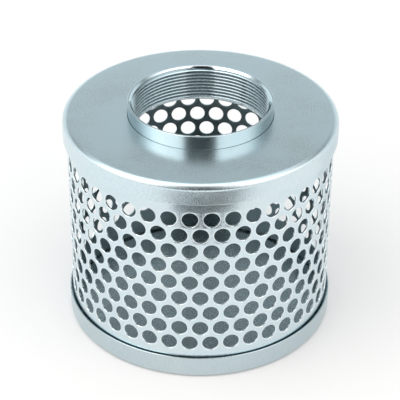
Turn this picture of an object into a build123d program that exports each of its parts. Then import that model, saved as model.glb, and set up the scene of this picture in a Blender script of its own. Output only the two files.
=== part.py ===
from build123d import *
import math
import os

# Suction strainer with a threaded neck, in millimetres.
# The base stands on z = 0, the neck points up and the axis is Z.
# Angles are measured round the axis from the front (-Y) towards the right (+X).

# Perforated shell: rolled from one sheet and welded along a plain strip
shell_radius = 84.3
shell_sheet = 1.2
shell_bottom = 2.6
shell_top = 139.6
shell_inner_radius = shell_radius - shell_sheet

# Holes: staggered rows, counted from the top, measured round the outer surface
hole_diameter = 10.0
hole_pitch = 13.0
hole_rows = 9
hole_columns = 40
hole_row_pitch = 11.45
top_row_height = 117.2
first_column = -10
hole_step = math.degrees(hole_pitch / shell_radius)

# Long seam of the shell, in the middle of the strip with no holes
seam_angle = (first_column + 0.25) * hole_step - (360 - (hole_columns - 1) * hole_step) / 2
seam_gap = 1.0
seam_bead_width = 3.6
seam_bead_height = 0.6
seam_bead_end_gap = 0.6

# Bottom cap: pressed cup over the foot of the shell
bottom_cap_radius = 86.1
bottom_cap_sheet = 1.0
bottom_cap_height = 14.9
bottom_cap_corner = 3.0
rim_round = 0.3

# Top cap: thicker pressed cup that carries the neck
top_cap_radius = 86.7
top_cap_sheet = 2.0
top_cap_corner = 3.8
top_cap_surface = 142.7
top_cap_height = 13.3

# Neck: G3 internal parallel pipe thread
thread_pitch = 25.4 / 11
thread_major_radius = 87.884 / 2
thread_minor_radius = 84.926 / 2
neck_radius = 45.8
neck_bottom = 128.2
neck_top = 151.8
neck_fit = 0.15
mouth_chamfer = 2.1
tail_chamfer = 0.5
neck_edge_round = 0.4
thread_root_width = 0.40
thread_land_width = 0.55
groove_overcut = 0.5
thread_low_end = 130.1
thread_start_angle = 250.0

# Welds
fillet_weld_leg = 3.5
fillet_weld_bulge = 0.56
spot_diameter = 4.5
spot_count = 8
first_spot_angle = -24.0

# How far a cutting shape runs past the wall it cuts, each way
overrun = 4.0


def disc(radius, low, high):
    """Solid cylinder on the axis between two heights."""
    return Pos(0, 0, low) * Cylinder(radius, high - low, align=(Align.CENTER, Align.CENTER, Align.MIN))


def tube(outer, inner, low, high):
    """Tube on the axis between two heights."""
    return disc(outer, low, high) - disc(inner, low, high)


def around(angle):
    """Turn that brings the front (-Y) side to the given angle."""
    return Rot(0, 0, angle)


def radial_pin(radius, angle, height, near, far):
    """Round bar that points out from the axis, between two distances from it."""
    bar = Cylinder(radius, far - near)
    return around(angle) * Pos(0, -(near + far) / 2, height) * Rot(90, 0, 0) * bar


def hole_cutters():
    """One round bar for each hole of the shell."""
    cutters = []
    for row in range(hole_rows):
        shift = 0.5 if row % 2 == 0 else 0.0
        height = top_row_height - row * hole_row_pitch
        for column in range(first_column, first_column + hole_columns):
            angle = (column + shift) * hole_step
            near = shell_inner_radius - overrun
            far = shell_radius + overrun
            cutters.append(radial_pin(hole_diameter / 2, angle, height, near, far))
    return cutters


def seam_slit():
    """Upright bar through the shell's wall, as wide as the open seam."""
    bar = Box(seam_gap, shell_sheet + 2 * overrun, shell_top)
    return around(seam_angle) * Pos(0, -shell_radius, (shell_bottom + shell_top) / 2) * bar


def make_shell():
    """Perforated tube, open along its seam."""
    wall = tube(shell_radius, shell_inner_radius, shell_bottom, shell_top)
    return wall.cut(seam_slit(), *hole_cutters())


def make_seam_weld():
    """Weld metal that fills the seam, with a low bead outside between the caps."""
    filler = seam_slit() & tube(shell_radius, shell_inner_radius, shell_bottom, shell_top)
    low = bottom_cap_height + seam_bead_end_gap
    high = top_cap_surface - top_cap_height - seam_bead_end_gap
    bead_radius = (seam_bead_width ** 2 / 4 + seam_bead_height ** 2) / (2 * seam_bead_height)
    bead_centre = shell_radius + seam_bead_height - bead_radius
    bead = around(seam_angle) * Pos(0, -bead_centre, 0) * disc(bead_radius, low, high)
    bead = bead - disc(shell_radius, low - overrun, high + overrun)
    return filler + bead


def make_cup(radius, sheet, height, corner):
    """Pressed cup, open side down, with its top surface at z = 0."""
    outer = disc(radius, -height, 0)
    outer = fillet(outer.edges().group_by(Axis.Z)[-1], corner)
    inner = disc(radius - sheet, -height, -sheet)
    inner = fillet(inner.edges().group_by(Axis.Z)[-1], corner - sheet)
    return outer - inner


def make_bottom_cap():
    """Bottom cup, open side up, with a rounded rim."""
    cup = make_cup(bottom_cap_radius, bottom_cap_sheet, bottom_cap_height, bottom_cap_corner)
    rim = cup.edges().group_by(Axis.Z)[0].sort_by(SortBy.RADIUS)[-1]
    return Rot(180, 0, 0) * fillet(rim, rim_round)


def make_top_cap():
    """Top cup with the round hole that the neck stands in."""
    cup = make_cup(top_cap_radius, top_cap_sheet, top_cap_height, top_cap_corner)
    cup = cup - disc(neck_radius + neck_fit, -top_cap_height, overrun)
    return Pos(0, 0, top_cap_surface) * cup


def thread_groove():
    """Helical groove of the neck's thread, from above the mouth to near its lower end."""
    turns_height = neck_top + thread_pitch - thread_low_end
    path = Helix(thread_pitch, turns_height, thread_minor_radius)
    mouth_half = (thread_pitch - thread_land_width) / 2
    root_half = thread_root_width / 2
    depth = thread_major_radius - thread_minor_radius
    slope = (mouth_half - root_half) / depth
    section = Plane(origin=path @ 0, x_dir=(1, 0, 0), z_dir=path % 0) * Polygon(
        (-groove_overcut, -mouth_half - slope * groove_overcut),
        (depth, -root_half),
        (depth, root_half),
        (-groove_overcut, mouth_half + slope * groove_overcut),
        align=None,
    )
    groove = sweep(section, path=path, is_frenet=True)
    return Pos(0, 0, thread_low_end) * Rot(0, 0, thread_start_angle) * groove


def make_neck():
    """Threaded neck ring."""
    ring = disc(neck_radius, neck_bottom, neck_top)
    ring = fillet(ring.edges().group_by(Axis.Z)[-1], neck_edge_round)
    ring = ring - disc(thread_minor_radius, neck_bottom, neck_top)
    mouth = ring.edges().group_by(Axis.Z)[-1].sort_by(SortBy.RADIUS)[0]
    ring = chamfer(mouth, mouth_chamfer)
    tail = ring.edges().group_by(Axis.Z)[0].sort_by(SortBy.RADIUS)[0]
    ring = chamfer(tail, tail_chamfer)
    threaded = ring - thread_groove()
    if threaded.volume > 0.9 * ring.volume:
        raise ValueError("the thread groove was not cut")
    return threaded


def make_neck_weld():
    """Fillet weld under the top cap, round the neck."""
    underside = top_cap_surface - top_cap_sheet
    corner = (neck_radius, underside)
    foot = (neck_radius, underside - fillet_weld_leg)
    toe = (neck_radius + fillet_weld_leg, underside)
    bulge_reach = fillet_weld_bulge * fillet_weld_leg
    bulge = (neck_radius + bulge_reach, underside - bulge_reach)
    outline = [Line(corner, foot), ThreePointArc(foot, bulge, toe), Line(toe, corner)]
    section = Plane.XZ * make_face(outline)
    return revolve(section, Axis.Z)


def make_spot_welds(height, skirt_inner_radius):
    """Round weld nuggets that fill the gap between the shell and a cap's skirt."""
    gap = tube(skirt_inner_radius, shell_radius, height - spot_diameter, height + spot_diameter)
    spots = []
    for index in range(spot_count):
        angle = first_spot_angle + index * 360 / spot_count
        near = shell_radius - overrun
        far = skirt_inner_radius + overrun
        pin = radial_pin(spot_diameter / 2, angle, height, near, far)
        spots.append((pin & gap).solid())
    return Compound(children=spots)


def main():
    os.makedirs("parts", exist_ok=True)
    top_spot_height = top_cap_surface - top_cap_sheet / 2 - top_cap_height / 2
    bottom_spot_height = bottom_cap_sheet / 2 + bottom_cap_height / 2
    nodes = {
        "perforated_shell": make_shell(),
        "shell_seam_weld": make_seam_weld(),
        "bottom_cap": make_bottom_cap(),
        "top_cap": make_top_cap(),
        "threaded_neck": make_neck(),
        "neck_weld": make_neck_weld(),
        "top_cap_spot_welds": make_spot_welds(top_spot_height, top_cap_radius - top_cap_sheet),
        "bottom_cap_spot_welds": make_spot_welds(bottom_spot_height, bottom_cap_radius - bottom_cap_sheet),
    }
    for name, shape in nodes.items():
        export_step(shape, f"parts/{name}.step")


main()
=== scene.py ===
import math

import bmesh
import bpy
import numpy as np
from mathutils import Matrix, Vector


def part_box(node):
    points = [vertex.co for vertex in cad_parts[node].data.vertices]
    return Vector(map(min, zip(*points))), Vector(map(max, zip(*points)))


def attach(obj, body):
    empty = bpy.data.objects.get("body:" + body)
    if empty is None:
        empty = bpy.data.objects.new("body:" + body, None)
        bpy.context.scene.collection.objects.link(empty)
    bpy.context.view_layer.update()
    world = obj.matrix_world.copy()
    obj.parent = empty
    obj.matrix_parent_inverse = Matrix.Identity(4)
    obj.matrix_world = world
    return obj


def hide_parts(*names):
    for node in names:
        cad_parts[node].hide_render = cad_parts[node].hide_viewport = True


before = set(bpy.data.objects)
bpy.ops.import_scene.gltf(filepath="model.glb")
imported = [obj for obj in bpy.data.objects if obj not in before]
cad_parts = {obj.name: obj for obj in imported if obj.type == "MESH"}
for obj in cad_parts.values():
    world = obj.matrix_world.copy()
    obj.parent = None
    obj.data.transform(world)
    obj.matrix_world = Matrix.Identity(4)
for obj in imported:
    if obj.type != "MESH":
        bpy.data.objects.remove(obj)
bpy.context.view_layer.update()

# Everything is in metres, in the frame of the CAD model: base on z = 0, axis on Z, front towards -Y.
# Angles round the axis are measured from the front (-Y) towards the right (+X).

MM = 0.001
WELD_DISTANCE = 0.001 * MM


def reach(node):
    """Smallest and largest distance from the axis that a CAD node has."""
    points = np.array([v.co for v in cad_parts[node].data.vertices])
    distance = np.hypot(points[:, 0], points[:, 1])
    return float(distance.min()), float(distance.max())


def heights(node):
    """Lowest and highest point of a CAD node."""
    low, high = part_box(node)
    return low.z, high.z


# Shell and its holes
SHELL_INNER, SHELL_OUTER = reach("perforated_shell")
SHELL_BOTTOM, SHELL_TOP = heights("perforated_shell")
SHEET = SHELL_OUTER - SHELL_INNER
HOLE_RADIUS = 5.0 * MM
HOLE_PITCH = 13.0 * MM
ROW_PITCH = 11.45 * MM
TOP_ROW = 117.2 * MM
ROWS = 9
COLUMNS = 40
FIRST_COLUMN = -10
SEAM_GAP = 1.0 * MM
PUNCH_ROUND = 0.40 * MM
BURR_ROUND = 0.12 * MM
RIM_WIDE = 0.85 * MM
CELL_WIDE = 12  # mesh steps across one hole's cell
CELL_HIGH = 8

# Caps
NECK_HOLE, TOP_OUTER = reach("top_cap")
SKIRT_BOTTOM, PLATE_TOP = heights("top_cap")
TOP_SHEET = 2.0 * MM
BOTTOM_OUTER = reach("bottom_cap")[1]
BASE, RIM_TOP = heights("bottom_cap")
BOTTOM_SHEET = 1.0 * MM
TOP_CORNER = 3.8 * MM
BOTTOM_CORNER = 3.0 * MM
CUT_EDGE_ROUND = 0.25 * MM
TOP_SKIRT_ROUND = 0.4 * MM
BOTTOM_RIM_OUTER_ROUND = 0.3 * MM
BOTTOM_RIM_INNER_ROUND = 0.5 * MM
CAP_SEGMENTS = 360
CORNER_STEPS = 10
FLAT_STEPS = 6

# Welds
NECK_WELD_LEG = 3.5 * MM
NECK_WELD_SEGMENTS = 720
NECK_WELD_RIPPLES = 150
NECK_WELD_ROWS = 8
SEAM_ROOT_STEP = 1.0 * MM
SEAM_BEAD_WIDTH = 3.6 * MM
SEAM_BEAD_HEIGHT = 0.6 * MM
SEAM_BEAD_SINK = 0.1 * MM
BEAD_END_GAP = 0.6 * MM
BEAD_END_TAPER = 2.0 * MM
BEAD_STEP = 0.3 * MM
BEAD_RIPPLE = 1.7 * MM

# Neck and its thread
CREST, NECK_OUTER = reach("threaded_neck")
NECK_BOTTOM, NECK_TOP = heights("threaded_neck")
THREAD_PITCH = 25.4 / 11 * MM
THREAD_DEPTH = 1.479 * MM
THREAD_ROUND = 0.317 * MM
THREAD_ROUND_STEPS = 4
THREAD_HALF_ANGLE = 27.5
RUNOUT_START = NECK_BOTTOM + 1.4 * MM
RUNOUT_LENGTH = 1.2 * MM
RELIEF_START = NECK_TOP - 1.1 * MM
RELIEF_LENGTH = 0.6 * MM
MOUTH_CHAMFER = 2.1 * MM
TAIL_CHAMFER = 0.5 * MM
LIP_EDGE = 0.25 * MM
NECK_ROUND = 0.4 * MM
NECK_ROUND_STEPS = 6
NECK_SEGMENTS = 240


def polar(radius, angle, height):
    """Point at a distance from the axis, an angle from the front and a height."""
    return radius * math.sin(angle), -radius * math.cos(angle), height


def finish_mesh(bm, name):
    """Welds a bmesh's doubled points, turns its faces outwards and makes a mesh of it."""
    bmesh.ops.remove_doubles(bm, verts=bm.verts[:], dist=WELD_DISTANCE)
    bmesh.ops.recalc_face_normals(bm, faces=bm.faces[:])
    mesh = bpy.data.meshes.new(name)
    bm.to_mesh(mesh)
    bm.free()
    return mesh


def new_piece(bm, name, node):
    """Makes a piece of a bmesh and puts it in the scene in place of a CAD node."""
    mesh = finish_mesh(bm, name)
    piece = bpy.data.objects.new(name, mesh)
    bpy.context.scene.collection.objects.link(piece)
    mesh.shade_smooth()
    piece.modifiers.new("Flats stay flat", "WEIGHTED_NORMAL").keep_sharp = True
    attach(piece, "root")
    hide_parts(node)
    return piece


def add_grid(bm, points, closed=False):
    """Adds quads over a grid of points, given as rows. closed joins the last column to the first."""
    rows = [[bm.verts.new(p) for p in row] for row in points]
    for low, high in zip(rows, rows[1:]):
        count = len(low)
        for i in range(count if closed else count - 1):
            j = (i + 1) % count
            bm.faces.new((low[i], low[j], high[j], high[i]))
    return rows


# ---------------------------------------------------------------- turned and pressed pieces


def rounded(corners, steps):
    """Outline of (radius, height) through corners of (radius, height, rounding), rounded by arcs."""
    outline = []
    count = len(corners)
    for i, (radius, height, rounding) in enumerate(corners):
        here = Vector((radius, height))
        if rounding == 0:
            outline.append(tuple(here))
            continue
        before = (Vector(corners[i - 1][:2]) - here).normalized()
        after = (Vector(corners[(i + 1) % count][:2]) - here).normalized()
        half = before.angle(after) / 2
        centre = here + (before + after).normalized() * rounding / math.sin(half)
        start = here + before * rounding / math.tan(half) - centre
        end = here + after * rounding / math.tan(half) - centre
        sweep = math.atan2(start.cross(end), start.dot(end))
        for k in range(steps + 1):
            arm = start.copy()
            arm.rotate(Matrix.Rotation(sweep * k / steps, 2))
            outline.append(tuple(centre + arm))
    return outline


def lathe(outline, segments, closed=True):
    """Rows of points round the axis for each (radius, height) of an outline."""
    angles = [2 * math.pi * k / segments for k in range(segments)]
    rows = [[polar(radius, angle, height) for angle in angles] for radius, height in outline]
    if closed:
        rows.append(rows[0])
    return rows


def split_run(start, end, count):
    """Corners along a straight run of an outline, without its ends."""
    return [
        (start[0] + (end[0] - start[0]) * k / count, start[1] + (end[1] - start[1]) * k / count, 0)
        for k in range(1, count)
    ]


def make_top_cap():
    inner = TOP_OUTER - TOP_SHEET
    underside = PLATE_TOP - TOP_SHEET
    corners = [(NECK_HOLE, PLATE_TOP, CUT_EDGE_ROUND)]
    corners += split_run((NECK_HOLE, PLATE_TOP), (TOP_OUTER - TOP_CORNER, PLATE_TOP), FLAT_STEPS)
    corners += [
        (TOP_OUTER, PLATE_TOP, TOP_CORNER),
        (TOP_OUTER, SKIRT_BOTTOM, TOP_SKIRT_ROUND),
        (inner, SKIRT_BOTTOM, CUT_EDGE_ROUND),
        (inner, underside, TOP_CORNER - TOP_SHEET),
        (NECK_HOLE, underside, CUT_EDGE_ROUND),
    ]
    bm = bmesh.new()
    add_grid(bm, lathe(rounded(corners, CORNER_STEPS), CAP_SEGMENTS), closed=True)
    return new_piece(bm, "top_cap_pressed", "top_cap")


def make_bottom_cap():
    inner = BOTTOM_OUTER - BOTTOM_SHEET
    floor = BASE + BOTTOM_SHEET
    corners = [(0.0, BASE, 0)]
    corners += split_run((0.0, BASE), (BOTTOM_OUTER - BOTTOM_CORNER, BASE), FLAT_STEPS)
    corners += [
        (BOTTOM_OUTER, BASE, BOTTOM_CORNER),
        (BOTTOM_OUTER, RIM_TOP, BOTTOM_RIM_OUTER_ROUND),
        (inner, RIM_TOP, BOTTOM_RIM_INNER_ROUND),
        (inner, floor, BOTTOM_CORNER - BOTTOM_SHEET),
    ]
    corners += split_run((inner - BOTTOM_CORNER, floor), (0.0, floor), FLAT_STEPS)
    corners += [(0.0, floor, 0)]
    bm = bmesh.new()
    add_grid(bm, lathe(rounded(corners, CORNER_STEPS), CAP_SEGMENTS, closed=False), closed=True)
    return new_piece(bm, "bottom_cap_pressed", "bottom_cap")


def smooth_step(value):
    """Soft ramp from 0 to 1."""
    share = min(max(value, 0.0), 1.0)
    return share * share * (3 - 2 * share)


def thread_profile():
    """Thread groove over one pitch, round at crest and root, as shares of the pitch and of the depth."""
    flank = math.radians(90 - THREAD_HALF_ANGLE)
    profile = []
    for k in range(-THREAD_ROUND_STEPS, THREAD_ROUND_STEPS + 1):
        turned = flank * k / THREAD_ROUND_STEPS
        across = THREAD_ROUND * math.sin(turned)
        deep = THREAD_ROUND * (1 - math.cos(turned))
        profile.append((0.25 + across / THREAD_PITCH, deep / THREAD_DEPTH))
        profile.append((0.75 + across / THREAD_PITCH, 1 - deep / THREAD_DEPTH))
    return sorted(profile)


def thread_rows():
    """Rows of points along the helix of the internal thread, from below its end to above its mouth."""
    low = NECK_BOTTOM + TAIL_CHAMFER
    turns = int((NECK_TOP - low) / THREAD_PITCH) + 4
    start = low - 2 * THREAD_PITCH
    chamfer_foot = NECK_TOP - MOUTH_CHAMFER
    rows = []
    for turn in range(turns):
        for share, depth in thread_profile():
            row = []
            for k in range(NECK_SEGMENTS + 1):
                angle = 2 * math.pi * k / NECK_SEGMENTS
                height = start + THREAD_PITCH * (turn + share - k / NECK_SEGMENTS)
                fade = smooth_step((height - RUNOUT_START) / RUNOUT_LENGTH)
                fade *= smooth_step((RELIEF_START - height) / RELIEF_LENGTH)
                radius = CREST + THREAD_DEPTH * depth * fade
                radius = max(radius, CREST + height - chamfer_foot)
                row.append(polar(radius, angle, height))
            rows.append(row)
    return rows


def open_loop(bm, height):
    """Boundary edges at a height."""
    level = {v for v in bm.verts if abs(v.co.z - height) < 0.01 * MM}
    return [e for e in bm.edges if e.is_boundary and level.issuperset(e.verts)]


def make_neck():
    bm = bmesh.new()
    add_grid(bm, thread_rows())
    bmesh.ops.remove_doubles(bm, verts=bm.verts[:], dist=WELD_DISTANCE)
    for height, above in ((NECK_TOP, True), (NECK_BOTTOM + TAIL_CHAMFER, False)):
        everything = bm.verts[:] + bm.edges[:] + bm.faces[:]
        bmesh.ops.bisect_plane(bm, geom=everything, plane_co=(0, 0, height), plane_no=(0, 0, 1),
                               clear_outer=above, clear_inner=not above)
    mouth = open_loop(bm, NECK_TOP)
    tail = open_loop(bm, NECK_BOTTOM + TAIL_CHAMFER)
    lip = CREST + MOUTH_CHAMFER + LIP_EDGE
    outside = rounded([
        (lip, NECK_TOP, 0),
        (NECK_OUTER, NECK_TOP, NECK_ROUND),
        (NECK_OUTER, PLATE_TOP, 0),
        (NECK_OUTER, NECK_BOTTOM, NECK_ROUND),
        (CREST + TAIL_CHAMFER, NECK_BOTTOM, 0),
    ], NECK_ROUND_STEPS)
    rows = add_grid(bm, lathe(outside, NECK_SEGMENTS, closed=False), closed=True)
    for loop, ring in ((mouth, rows[0]), (tail, rows[-1])):
        round_edges = [bm.edges.get((a, b)) for a, b in zip(ring, ring[1:] + ring[:1])]
        bmesh.ops.bridge_loops(bm, edges=loop + round_edges)
    return new_piece(bm, "neck_threaded", "threaded_neck")


# ---------------------------------------------------------------- perforated shell


def on_shell(across, up, depth=0.0):
    """Point of the rolled sheet: distance round its outer face, height, and depth into the sheet."""
    return polar(SHELL_OUTER - depth, across / SHELL_OUTER, up)


def cell_rim():
    """Points round the edge of one hole's cell, counter-clockwise from the middle of its right side."""
    half_wide = HOLE_PITCH / 2
    half_high = ROW_PITCH / 2
    side = [(half_wide, half_high * (2 * k / CELL_HIGH - 1)) for k in range(CELL_HIGH)]
    top = [(half_wide * (1 - 2 * k / CELL_WIDE), half_high) for k in range(CELL_WIDE)]
    rim = side + top
    rim += [(-x, -y) for x, y in rim]
    turn = CELL_HIGH // 2
    return rim[turn:] + rim[:turn]


def cell_rings():
    """Rings of (across, up, depth) from the outer face, over the hole's edge, to the inner face."""
    rim = cell_rim()
    count = len(rim)
    slope = math.sqrt(0.5)
    steps = [
        (HOLE_RADIUS + PUNCH_ROUND, 0.0),
        (HOLE_RADIUS + PUNCH_ROUND * (1 - slope), PUNCH_ROUND * (1 - slope)),
        (HOLE_RADIUS, PUNCH_ROUND),
        (HOLE_RADIUS, SHEET - BURR_ROUND),
        (HOLE_RADIUS + BURR_ROUND, SHEET),
    ]
    rings = [[(x, y, 0.0) for x, y in rim]]
    for radius, depth in steps:
        ring = []
        for k in range(count):
            angle = 2 * math.pi * k / count
            ring.append((radius * math.cos(angle), radius * math.sin(angle), depth))
        rings.append(ring)
    rings.append([(x, y, SHEET) for x, y in rim])
    return rings


def strip_columns(shifted):
    """Places round the sheet of the mesh columns of the plain strip, and of the slit's two edges."""
    plain = 2 * math.pi * SHELL_OUTER - COLUMNS * HOLE_PITCH
    common = plain - HOLE_PITCH / 2
    start = (FIRST_COLUMN + COLUMNS) * HOLE_PITCH
    step = HOLE_PITCH / CELL_WIDE
    half = CELL_WIDE // 2
    slit = [start + (common - SEAM_GAP) / 2, start + (common + SEAM_GAP) / 2]
    middle = [start, *slit, start + common]
    if shifted:
        return middle + [start + common + step * k for k in range(1, half + 1)], slit
    return [start - step * k for k in range(half, 0, -1)] + middle, slit


def add_sheet(bm, columns, levels, slit):
    """Adds both faces of a plain stretch of the sheet, open at the slit, with the slit's two edges."""
    for depth in (0.0, SHEET):
        left = [c for c in columns if c <= slit[0]]
        right = [c for c in columns if c >= slit[1]]
        for part in (left, right):
            add_grid(bm, [[on_shell(c, level, depth) for c in part] for level in levels])
    for edge in slit:
        add_grid(bm, [[on_shell(edge, level, depth) for depth in (0.0, SHEET)] for level in levels])


def make_shell():
    bm = bmesh.new()
    rings = cell_rings()
    for row in range(ROWS):
        shifted = row % 2 == 0
        middle = TOP_ROW - row * ROW_PITCH
        for column in range(FIRST_COLUMN, FIRST_COLUMN + COLUMNS):
            place = (column + (0.5 if shifted else 0.0)) * HOLE_PITCH
            cell = [[on_shell(place + x, middle + y, depth) for x, y, depth in ring] for ring in rings]
            add_grid(bm, cell, closed=True)
        levels = [middle + ROW_PITCH * (k / CELL_HIGH - 0.5) for k in range(CELL_HIGH + 1)]
        columns, slit = strip_columns(shifted)
        add_sheet(bm, columns, levels, slit)
    first = FIRST_COLUMN * HOLE_PITCH
    holed = [first + HOLE_PITCH * k / CELL_WIDE for k in range(COLUMNS * CELL_WIDE)]
    columns, slit = strip_columns(True)
    columns = holed + columns
    above = TOP_ROW + ROW_PITCH / 2
    below = TOP_ROW - (ROWS - 0.5) * ROW_PITCH
    add_sheet(bm, columns, [above, (above + SHELL_TOP) / 2, SHELL_TOP], slit)
    add_sheet(bm, columns, [SHELL_BOTTOM, (below + SHELL_BOTTOM) / 2, below], slit)
    for level in (SHELL_BOTTOM, SHELL_TOP):
        for part in ([c for c in columns if c <= slit[0]], [c for c in columns if c >= slit[1]]):
            add_grid(bm, [[on_shell(c, level, depth) for c in part] for depth in (0.0, SHEET)])
    return new_piece(bm, "shell_perforated", "perforated_shell")


# ---------------------------------------------------------------- welds


def weld_ripple(along, across):
    """Height share of a weld's ripples, from 0 to 1: rounded scales that trail at the bead's edges."""
    place = (along + 0.45 * abs(across) ** 1.5) % 1.0
    return 1 - (2 * place - 1) ** 2


def seam_middle():
    """Distance round the sheet's outer face to the middle of its seam."""
    slit = strip_columns(True)[1]
    return (slit[0] + slit[1]) / 2


def add_bar(bm, sections):
    """Adds a closed bar through a list of cross-sections, each one a ring of points."""
    rows = add_grid(bm, sections, closed=True)
    bm.faces.new(rows[0])
    bm.faces.new(rows[-1])


def seam_root_section(middle, level, swell):
    """Cross-section of the weld metal in the slit, bulging a little on the inside."""
    root = [(-0.5, 0.0), (0.5, 0.0), (0.5, 1.0), (0.28, 1.11), (0.0, 1.16), (-0.28, 1.11), (-0.5, 1.0)]
    section = []
    for across, depth in root:
        deeper = max(depth - 1.0, 0.0) * swell + min(depth, 1.0)
        section.append(on_shell(middle + across * SEAM_GAP, level, deeper * SHEET))
    return section


def seam_bead_section(middle, level, width, swell):
    """Cross-section of the rippled bead outside, let a little into the sheet."""
    section = []
    for share in [k / 5 for k in range(-5, 6)]:
        crown = SEAM_BEAD_HEIGHT * swell * (1 - share * share)
        crown *= 0.55 + 0.45 * weld_ripple(level / BEAD_RIPPLE, share)
        section.append(on_shell(middle + width * share, level, -crown))
    for side in (1, -1):
        section.append(on_shell(middle + side * width * 0.9, level, SEAM_BEAD_SINK))
    return section


def make_seam_weld():
    """Filled seam of the shell: weld metal through the slit and a rippled bead outside between the caps."""
    middle = seam_middle()
    bm = bmesh.new()
    count = int((SHELL_TOP - SHELL_BOTTOM) / SEAM_ROOT_STEP)
    sections = []
    for k in range(count + 1):
        level = SHELL_BOTTOM + (SHELL_TOP - SHELL_BOTTOM) * k / count
        swell = 0.75 + 0.25 * math.sin(2.3 * k) * math.sin(0.31 * k)
        sections.append(seam_root_section(middle, level, swell))
    add_bar(bm, sections)

    low = RIM_TOP + BEAD_END_GAP
    high = SKIRT_BOTTOM - BEAD_END_GAP
    count = int((high - low) / BEAD_STEP)
    sections = []
    for k in range(count + 1):
        level = low + (high - low) * k / count
        to_end = min(k, count - k) * BEAD_STEP / BEAD_END_TAPER
        swell = 0.15 + 0.85 * math.sqrt(smooth_step(to_end))
        wander = 0.93 + 0.07 * math.sin(k * 0.11 + math.sin(k * 0.037))
        sections.append(seam_bead_section(middle, level, SEAM_BEAD_WIDTH / 2 * swell * wander, swell))
    add_bar(bm, sections)
    return new_piece(bm, "seam_weld_bead", "shell_seam_weld")


def make_neck_weld():
    """Rippled fillet weld under the top plate, round the neck."""
    underside = PLATE_TOP - TOP_SHEET
    angles = [2 * math.pi * k / NECK_WELD_SEGMENTS for k in range(NECK_WELD_SEGMENTS)]
    rows = []
    for j in range(NECK_WELD_ROWS + 1):
        share = j / NECK_WELD_ROWS
        row = []
        for k, angle in enumerate(angles):
            swell = 1 + 0.05 * math.sin(7 * angle) + 0.03 * math.sin(19 * angle + 1)
            leg = NECK_WELD_LEG * min(swell, 1.0)
            ripple = weld_ripple(NECK_WELD_RIPPLES * k / NECK_WELD_SEGMENTS, 2 * share - 1)
            bulge = leg * math.sin(math.pi * share) * (0.02 + 0.05 * ripple)
            radius = NECK_OUTER + leg * (1 - share) + bulge
            row.append(polar(radius, angle, underside - leg * share - bulge))
        rows.append(row)
    corner = [polar(NECK_OUTER, angle, underside) for angle in angles]
    bm = bmesh.new()
    add_grid(bm, [corner, *rows, corner], closed=True)
    return new_piece(bm, "neck_weld_fillet", "neck_weld")


# ---------------------------------------------------------------- materials

# Zinc plating: its edge wear and the painted highlight round the shell's holes, duller plating with painted
# shade in the chamber, dirt with painted shade in the thread's grooves, a darker outer neck wall, the
# scales of its patterns, and where the chamber ends
WORN_AND_HIGHLIGHT_COLOUR = (0.88, 0.95, 0.97)
DULL_AND_SHADED_COLOUR = (0.10, 0.145, 0.155)
NECK_DIRT_AND_SHADE_COLOUR = (0.10, 0.14, 0.15)
NECK_DIRT_AND_SHADE_STRENGTH = 0.65
GROOVE_DIRT_AND_SHADE_START = 0.15 * MM
GROOVE_DIRT_AND_SHADE_FULL = 1.2 * MM
OUTER_WALL_DARKENING = 0.42
WEAR = 0.5
CLOUD_SCALE = 28.0
PATCH_SCALE = 140.0
SPECKLE_SCALE = 1500.0
CHAMBER_FLOOR_BELOW = 5.0 * MM
CHAMBER_CEILING_ABOVE = 135.0 * MM


def socket_of(node, name):
    """Input of a node: by its name, with _ for a space, or by its number as i0, i1 and so on."""
    if name[0] == "i" and name[1:].isdigit():
        return node.inputs[int(name[1:])]
    return node.inputs[name.replace("_", " ")]


def add_node(tree, kind, settings=None, **inputs):
    """Adds a shader node. inputs are values, or the outputs to link, by socket."""
    node = tree.nodes.new(kind)
    for name, value in (settings or {}).items():
        setattr(node, name, value)
    for name, value in inputs.items():
        socket = socket_of(node, name)
        if isinstance(value, bpy.types.NodeSocket):
            tree.links.new(value, socket)
        else:
            socket.default_value = value
    return node


def math_node(tree, operation, first, second=0.0):
    return add_node(tree, "ShaderNodeMath", {"operation": operation}, i0=first, i1=second).outputs[0]


def times(tree, first, second):
    return math_node(tree, "MULTIPLY", first, second)


def vector_node(tree, operation, **inputs):
    return add_node(tree, "ShaderNodeVectorMath", {"operation": operation}, **inputs)


def parts_of(tree, vector):
    """The x, y and z of a vector."""
    return add_node(tree, "ShaderNodeSeparateXYZ", None, Vector=vector).outputs


def joined(tree, x, y):
    """Vector of an x and a y, with no z."""
    return add_node(tree, "ShaderNodeCombineXYZ", None, X=x, Y=y, Z=0.0).outputs[0]


def remap(tree, value, low, high, to_low, to_high):
    """Value between low and high, spread between to_low and to_high."""
    return add_node(tree, "ShaderNodeMapRange", None, Value=value, From_Min=low, From_Max=high,
                    To_Min=to_low, To_Max=to_high).outputs["Result"]


def noise(tree, place, scale, detail, rough):
    return add_node(tree, "ShaderNodeTexNoise", None, Vector=place, Scale=scale, Detail=detail,
                    Roughness=rough).outputs["Fac"]


def blend_value(tree, factor, first, second):
    """first where factor is 0 and second where it is 1."""
    node = add_node(tree, "ShaderNodeMix", {"data_type": "FLOAT"}, Factor=factor, i2=first, i3=second)
    return node.outputs[0]


def blend_colour(tree, factor, first, second):
    """first where factor is 0 and second where it is 1. A colour is an output or three levels."""
    sides = [c if isinstance(c, bpy.types.NodeSocket) else (*c, 1.0) for c in (first, second)]
    node = add_node(tree, "ShaderNodeMix", {"data_type": "RGBA"}, Factor=factor, i6=sides[0], i7=sides[1])
    return node.outputs[2]


def angle_from_front(tree, place):
    """Angle round the axis, from the front towards the right."""
    parts = parts_of(tree, place)
    return math_node(tree, "ARCTAN2", parts["X"], times(tree, parts["Y"], -1.0))


def round_the_axis(tree, place, radius, across, up):
    """Coordinates rolled out round the axis, for grain: scaled across the grain and along the height."""
    arc = times(tree, angle_from_front(tree, place), radius * across)
    return joined(tree, arc, times(tree, parts_of(tree, place)["Z"], up))


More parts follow.
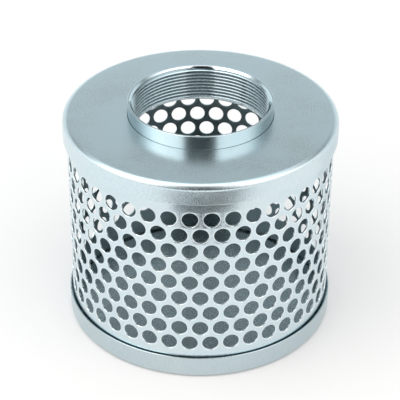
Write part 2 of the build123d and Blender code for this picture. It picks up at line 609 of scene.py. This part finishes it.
def outward_share(tree, place, normal):
    """How far a face looks away from the axis, from -1 to 1."""
    parts = parts_of(tree, place)
    outward = vector_node(tree, "NORMALIZE", i0=joined(tree, parts["X"], parts["Y"])).outputs[0]
    return vector_node(tree, "DOT_PRODUCT", i0=outward, i1=normal).outputs["Value"]


def chamber_share(tree, place, normal):
    """1 on the faces that look into the chamber and 0 elsewhere."""
    look = parts_of(tree, normal)["Z"]
    height = parts_of(tree, place)["Z"]
    wall = remap(tree, outward_share(tree, place, normal), -0.3, -0.8, 0.0, 1.0)
    low = math_node(tree, "LESS_THAN", height, CHAMBER_FLOOR_BELOW)
    floor = times(tree, low, remap(tree, look, 0.3, 0.8, 0.0, 1.0))
    high = math_node(tree, "GREATER_THAN", height, CHAMBER_CEILING_ABOVE)
    ceiling = times(tree, high, remap(tree, look, -0.3, -0.8, 0.0, 1.0))
    return math_node(tree, "MAXIMUM", wall, math_node(tree, "MAXIMUM", floor, ceiling))


def hole_rim_highlights(tree, place, normal):
    """1 on a ring round each of the shell's holes on the outer face, where a painted highlight goes, and 0
    on the sheet between them.
    """
    outside = remap(tree, outward_share(tree, place, normal), 0.1, 0.6, 0.0, 1.0)
    column = times(tree, angle_from_front(tree, place), SHELL_OUTER / HOLE_PITCH)
    before_first = math_node(tree, "LESS_THAN", column, FIRST_COLUMN - 0.5)
    once_round = times(tree, before_first, 2 * math.pi * SHELL_OUTER / HOLE_PITCH)
    column = math_node(tree, "ADD", column, once_round)
    from_base = math_node(tree, "DIVIDE", parts_of(tree, place)["Z"], ROW_PITCH)
    row = math_node(tree, "SUBTRACT", TOP_ROW / ROW_PITCH, from_base)
    nearest_row = math_node(tree, "ROUND", row)
    shift = times(tree, math_node(tree, "MODULO", nearest_row, 2.0), 0.5)
    column = math_node(tree, "ADD", column, math_node(tree, "SUBTRACT", shift, 0.5))
    nearest_column = math_node(tree, "ROUND", column)
    up = times(tree, math_node(tree, "SUBTRACT", row, nearest_row), ROW_PITCH)
    across = times(tree, math_node(tree, "SUBTRACT", column, nearest_column), HOLE_PITCH)
    distance = vector_node(tree, "LENGTH", i0=joined(tree, across, up)).outputs["Value"]
    rim = remap(tree, distance, HOLE_RADIUS + RIM_WIDE, HOLE_RADIUS + RIM_WIDE / 3, 0.0, 1.0)
    for nearest, first, count in ((nearest_row, 0, ROWS), (nearest_column, FIRST_COLUMN, COLUMNS)):
        off = math_node(tree, "SUBTRACT", nearest, first + (count - 1) / 2)
        off = math_node(tree, "ABSOLUTE", off)
        rim = times(tree, rim, math_node(tree, "LESS_THAN", off, count / 2))
    return times(tree, rim, outside)


def neck_dirt_and_shade(tree, place, normal):
    """Darkening on the neck: none at the thread's crests and most at its roots, as dirt and painted shade,
    and a darker tone on the outer wall.
    """
    parts = parts_of(tree, place)
    distance = vector_node(tree, "LENGTH", i0=joined(tree, parts["X"], parts["Y"])).outputs["Value"]
    deep = remap(tree, distance, CREST + GROOVE_DIRT_AND_SHADE_START, CREST + GROOVE_DIRT_AND_SHADE_FULL, 0.0, 1.0)
    inside = math_node(tree, "LESS_THAN", distance, CREST + THREAD_DEPTH + 0.05 * MM)
    below = math_node(tree, "LESS_THAN", parts["Z"], NECK_TOP - MOUTH_CHAMFER)
    grooves = times(tree, deep, times(tree, inside, below))
    wall = remap(tree, outward_share(tree, place, normal), 0.5, 0.9, 0.0, OUTER_WALL_DARKENING)
    return math_node(tree, "MAXIMUM", grooves, wall)


def zinc(name, tint, rough, radius, grain, bumps, drawn=0.0, dull_and_shade=0.0, rim_highlights=None, dirt_and_shade=None):
    """Bright zinc-plated steel: drawn or turned grain round the axis, fine speckle, clouds and edge wear.

    grain is the scale of the grain round the axis and up it, and bumps the height of the grain and of the
    speckle, in millimetres. drawn is how far upright drawing marks spread reflections sideways on the
    walls, and dull_and_shade how far the faces inside the chamber are darkened, partly as duller plating
    and partly as painted shade. rim_highlights gives the places of a painted highlight, lightened along
    with the edge wear, and dirt_and_shade the places darkened partly by dirt and partly by painted shade.
    """
    material = bpy.data.materials.new(name)
    material.use_nodes = True
    tree = material.node_tree
    tree.nodes.clear()
    place = add_node(tree, "ShaderNodeTexCoord").outputs["Object"]
    geometry = add_node(tree, "ShaderNodeNewGeometry")
    normal = geometry.outputs["Normal"]
    clouds = noise(tree, place, CLOUD_SCALE, 3.0, 0.55)
    patches = noise(tree, place, PATCH_SCALE, 3.0, 0.6)
    speckle = noise(tree, place, SPECKLE_SCALE, 2.0, 0.6)
    marks = noise(tree, round_the_axis(tree, place, radius, *grain), 1.0, 3.0, 0.65)
    flat = math_node(tree, "ABSOLUTE", parts_of(tree, normal)["Z"])
    flat = remap(tree, flat, 0.5, 0.9, 0.0, 1.0)
    texture = blend_value(tree, flat, marks, speckle)

    wear_and_rim_highlight = remap(tree, geometry.outputs["Pointiness"], 0.505, 0.56, 0.0, 1.0)
    wear_and_rim_highlight = times(tree, wear_and_rim_highlight, remap(tree, patches, 0.40, 0.62, 0.2, 1.0))
    wear_and_rim_highlight = times(tree, wear_and_rim_highlight, WEAR)
    # Painted highlight: a ring round each hole of the shell is lightened along with the wear on the edges.
    if rim_highlights:
        rim_highlight_share = rim_highlights(tree, place, normal)
        rim_highlight_share = times(tree, rim_highlight_share, remap(tree, patches, 0.30, 0.55, 0.45, 1.0))
        wear_and_rim_highlight = math_node(tree, "MAXIMUM", wear_and_rim_highlight, rim_highlight_share)

    darker = [level * 0.82 for level in tint]
    bluer = [tint[0] * 0.95, tint[1] * 0.99, min(tint[2] * 1.02, 1.0)]
    colour = blend_colour(tree, remap(tree, clouds, 0.35, 0.65, 0.0, 1.0), tint, bluer)
    colour = blend_colour(tree, remap(tree, texture, 0.35, 0.75, 0.0, 0.55), colour, darker)
    colour = blend_colour(tree, wear_and_rim_highlight, colour, WORN_AND_HIGHLIGHT_COLOUR)

    roughness = remap(tree, clouds, 0.3, 0.7, rough * 0.88, rough * 1.12)
    if drawn:
        roughness = times(tree, roughness, blend_value(tree, flat, 0.87, 1.0))
    roughness = math_node(tree, "ADD", roughness, remap(tree, texture, 0.3, 0.7, -0.03, 0.03))
    roughness = math_node(tree, "SUBTRACT", roughness, times(tree, wear_and_rim_highlight, 0.06))
    # Partly duller plating, partly painted shade: the faces inside the chamber are darkened.
    if dull_and_shade:
        inside = times(tree, chamber_share(tree, place, normal), dull_and_shade)
        colour = blend_colour(tree, inside, colour, DULL_AND_SHADED_COLOUR)
        roughness = math_node(tree, "ADD", roughness, times(tree, inside, 0.15))
    # Partly dirt, partly painted shade: the neck's thread roots are darkened, and its outer wall is given a
    # darker tone.
    if dirt_and_shade:
        dirt_and_shade_share = times(tree, dirt_and_shade(tree, place, normal), NECK_DIRT_AND_SHADE_STRENGTH)
        colour = blend_colour(tree, dirt_and_shade_share, colour, NECK_DIRT_AND_SHADE_COLOUR)

    height = blend_value(tree, flat, times(tree, marks, bumps[0]), times(tree, speckle, bumps[1]))
    bump = add_node(tree, "ShaderNodeBump", None, Height=height, Strength=1.0, Distance=1.0 * MM)
    shader = add_node(tree, "ShaderNodeBsdfPrincipled", None, Base_Color=colour, Roughness=roughness,
                      Metallic=1.0, Normal=bump.outputs[0])
    if drawn:
        round_it = add_node(tree, "ShaderNodeTangent", {"direction_type": "RADIAL", "axis": "Z"})
        tree.links.new(round_it.outputs[0], shader.inputs["Tangent"])
        tree.links.new(blend_value(tree, flat, drawn, 0.0), shader.inputs["Anisotropic"])
    add_node(tree, "ShaderNodeOutputMaterial", None, Surface=shader.outputs[0])
    return material


def plain(name, colour, roughness, glow=0.0):
    """Even material for the studio. glow is light of its own, as a lit sweep has."""
    material = bpy.data.materials.new(name)
    material.use_nodes = True
    shader = material.node_tree.nodes["Principled BSDF"]
    shader.inputs["Base Color"].default_value = (*colour, 1.0)
    shader.inputs["Roughness"].default_value = roughness
    shader.inputs["Specular IOR Level"].default_value = 0.0
    shader.inputs["Emission Color"].default_value = (1.0, 1.0, 1.0, 1.0)
    shader.inputs["Emission Strength"].default_value = glow
    return material


# ---------------------------------------------------------------- studio

# The dome's brightness. DOME_BACK and DOME_FRONT go by the height of a direction, from 0 at the horizon to
# 1 overhead, and DOME_SIDES from 0 at the back to 1 at the front. DOME_LEAN brightens the left and dims the
# right.
DOME_BACK = [
    (0.0, 0.95), (0.25, 1.10), (0.42, 0.96), (0.50, 0.34),
    (0.55, 0.18), (0.65, 0.34), (0.78, 0.9), (1.0, 2.0),
]
DOME_FRONT = [(0.0, 0.95), (0.20, 1.05), (0.40, 1.62), (0.60, 1.95), (0.80, 1.5), (1.0, 2.0)]
DOME_SIDES = [(0.0, 1.0), (0.03, 1.0), (0.10, 0.80), (0.25, 0.85), (0.38, 1.0), (1.0, 1.0)]
DOME_LEAN = 0.05
BACK_TINT = (0.92, 1.0, 1.03)
FRONT_TINT = (1.06, 1.0, 0.98)

# Corners of the cards
DARK_CARD = [(-0.155, -0.376, 0.130), (0.170, -0.376, 0.130), (0.33, -0.75, 0.95), (-0.39, -0.75, 0.95)]
DARK_CARD_ABOVE = [(-0.39, -0.75, 0.95), (0.33, -0.75, 0.95), (0.10, -0.30, 1.40), (-0.20, -0.30, 1.40)]
DARK_STRIP = [
    (-0.088, -0.253, 0.001), (0.124, -0.253, 0.001),
    (0.225, -0.310, 0.001), (-0.112, -0.310, 0.001),
]
GREY_CARD = [(0.13, 0.05, 0.001), (0.40, 0.05, 0.001), (0.40, 0.40, 0.001), (0.10, 0.40, 0.001)]

FLOOR_REACH = 6.0
FLOOR_COLOUR = (0.645, 0.65, 0.65)
FLOOR_GLOW = 0.12

KEY_PLACE = (-0.7, -0.2, 1.25)
KEY_AIM = (0.0, 0.0, 0.0)
KEY_SIZE = 1.1
KEY_POWER = 3.2

CAMERA_PLACE = (-5.9 * MM, -867.7 * MM, 640.8 * MM)
CAMERA_LENS = 143.63
CAMERA_SENSOR = 36.0
CAMERA_TURN = -0.388
CAMERA_DOWN = 33.006
CAMERA_ROLL = 0.376


def add_sheet_of(name, corners, material):
    """Flat four-cornered piece of the studio."""
    mesh = bpy.data.meshes.new(name)
    mesh.from_pydata(corners, [], [(0, 1, 2, 3)])
    piece = bpy.data.objects.new(name, mesh)
    bpy.context.scene.collection.objects.link(piece)
    mesh.materials.append(material)
    return piece


def make_floor():
    far = FLOOR_REACH
    corners = [(-far, -far, 0), (far, -far, 0), (far, far, 0), (-far, far, 0)]
    add_sheet_of("floor", corners, plain("pale_floor", FLOOR_COLOUR, 0.9, FLOOR_GLOW))


def make_cards():
    """Cards that only reflections see: dark ones in front, and a grey one on the floor at the back right, a
    painted shade on the floor there.
    """
    dark = plain("dark_card", (0.004, 0.007, 0.009), 1.0)
    grey = plain("grey_card", (0.62, 0.64, 0.65), 1.0)
    for name, corners, material in (
        ("dark_card", DARK_CARD, dark),
        ("dark_card_above", DARK_CARD_ABOVE, dark),
        ("dark_strip", DARK_STRIP, dark),
        ("grey_card", GREY_CARD, grey),
    ):
        card = add_sheet_of(name, corners, material)
        card.visible_camera = False
        card.visible_diffuse = False
        card.visible_shadow = False


def ramp(tree, value, stops):
    """Level along a value from 0 to 1, from (place, level) stops. Levels pass 1, so it holds quarters."""
    node = add_node(tree, "ShaderNodeValToRGB", None, Fac=value)
    node.color_ramp.interpolation = "B_SPLINE"
    elements = node.color_ramp.elements
    while len(elements) < len(stops):
        elements.new(0.5)
    for element, (place, level) in zip(elements, stops):
        element.position = place
        element.color = (level / 4, level / 4, level / 4, 1.0)
    return times(tree, node.outputs[0], 4.0)


def make_world():
    """Studio dome: white at the horizon, brighter in front, greyer behind and bright overhead."""
    world = bpy.data.worlds.new("studio")
    bpy.context.scene.world = world
    world.use_nodes = True
    tree = world.node_tree
    tree.nodes.clear()
    parts = parts_of(tree, add_node(tree, "ShaderNodeTexCoord").outputs["Generated"])
    up = parts["Z"]
    level_way = vector_node(tree, "NORMALIZE", i0=joined(tree, parts["X"], parts["Y"])).outputs[0]
    sideways = parts_of(tree, level_way)["X"]
    front = times(tree, parts_of(tree, level_way)["Y"], -1.0)
    share = add_node(tree, "ShaderNodeMapRange", {"interpolation_type": "SMOOTHSTEP"}, Value=front,
                     From_Min=-0.50, From_Max=0.35).outputs["Result"]
    level = blend_value(tree, share, ramp(tree, up, DOME_BACK), ramp(tree, up, DOME_FRONT))
    level = times(tree, level, remap(tree, sideways, -1.0, 1.0, 1.0 + DOME_LEAN, 1.0 - DOME_LEAN))
    level = times(tree, level, ramp(tree, remap(tree, front, -1.0, 1.0, 0.0, 1.0), DOME_SIDES))
    tint = blend_colour(tree, share, BACK_TINT, FRONT_TINT)
    light = vector_node(tree, "SCALE", i0=tint, Scale=level).outputs[0]
    background = add_node(tree, "ShaderNodeBackground", None, Color=light)
    add_node(tree, "ShaderNodeOutputWorld", None, Surface=background.outputs[0])


def add_area_light(name, place, aim, size, power):
    data = bpy.data.lights.new(name, "AREA")
    data.shape = "DISK"
    data.size = size
    data.energy = power
    lamp = bpy.data.objects.new(name, data)
    bpy.context.scene.collection.objects.link(lamp)
    lamp.location = place
    lamp.rotation_mode = "QUATERNION"
    lamp.rotation_quaternion = (Vector(aim) - Vector(place)).to_track_quat("-Z", "Y")


def make_camera():
    data = bpy.data.cameras.new("camera")
    data.lens = CAMERA_LENS
    data.sensor_width = CAMERA_SENSOR
    data.clip_start = 0.05
    data.clip_end = 50.0
    camera = bpy.data.objects.new("camera", data)
    bpy.context.scene.collection.objects.link(camera)
    turn = Matrix.Rotation(math.radians(CAMERA_TURN), 4, "Z")
    tilt = Matrix.Rotation(math.radians(90 - CAMERA_DOWN), 4, "X")
    roll = Matrix.Rotation(math.radians(CAMERA_ROLL), 4, "Z")
    camera.matrix_world = Matrix.Translation(CAMERA_PLACE) @ turn @ tilt @ roll
    bpy.context.scene.camera = camera


# ---------------------------------------------------------------- the model

sheet_metal = zinc("zinc_perforated_sheet", (0.68, 0.79, 0.82), 0.20, SHELL_OUTER, (1500.0, 900.0),
                   (0.030, 0.01), drawn=0.45, dull_and_shade=0.85, rim_highlights=hole_rim_highlights)
top_metal = zinc("zinc_top_cap", (0.71, 0.825, 0.855), 0.29, TOP_OUTER, (1300.0, 220.0),
                 (0.060, 0.022), drawn=0.85, dull_and_shade=0.70)
# The bottom cap's tint is darker than the top cap's: partly a duller finish, partly painted shade for the
# shaded floor by the base that it reflects.
bottom_metal = zinc("zinc_bottom_cap", (0.56, 0.655, 0.68), 0.26, BOTTOM_OUTER, (1300.0, 220.0),
                    (0.030, 0.008), drawn=0.5)
neck_metal = zinc("zinc_turned_neck", (0.75, 0.86, 0.89), 0.12, NECK_OUTER, (60.0, 3500.0),
                  (0.004, 0.002), dirt_and_shade=neck_dirt_and_shade)
weld_metal = zinc("zinc_weld_metal", (0.58, 0.68, 0.71), 0.32, NECK_OUTER, (900.0, 900.0),
                  (0.02, 0.01))

for piece, metal in (
    (make_top_cap(), top_metal),
    (make_bottom_cap(), bottom_metal),
    (make_neck(), neck_metal),
    (make_shell(), sheet_metal),
    (make_seam_weld(), weld_metal),
    (make_neck_weld(), weld_metal),
):
    piece.data.materials.append(metal)

# The spot welds keep their CAD shape
for node in ("top_cap_spot_welds", "bottom_cap_spot_welds"):
    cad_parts[node].data.materials.clear()
    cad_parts[node].data.materials.append(weld_metal)

make_floor()
make_cards()
make_world()
add_area_light("key", KEY_PLACE, KEY_AIM, KEY_SIZE, KEY_POWER)
make_camera()
bpy.context.scene.view_settings.view_transform = "Standard"
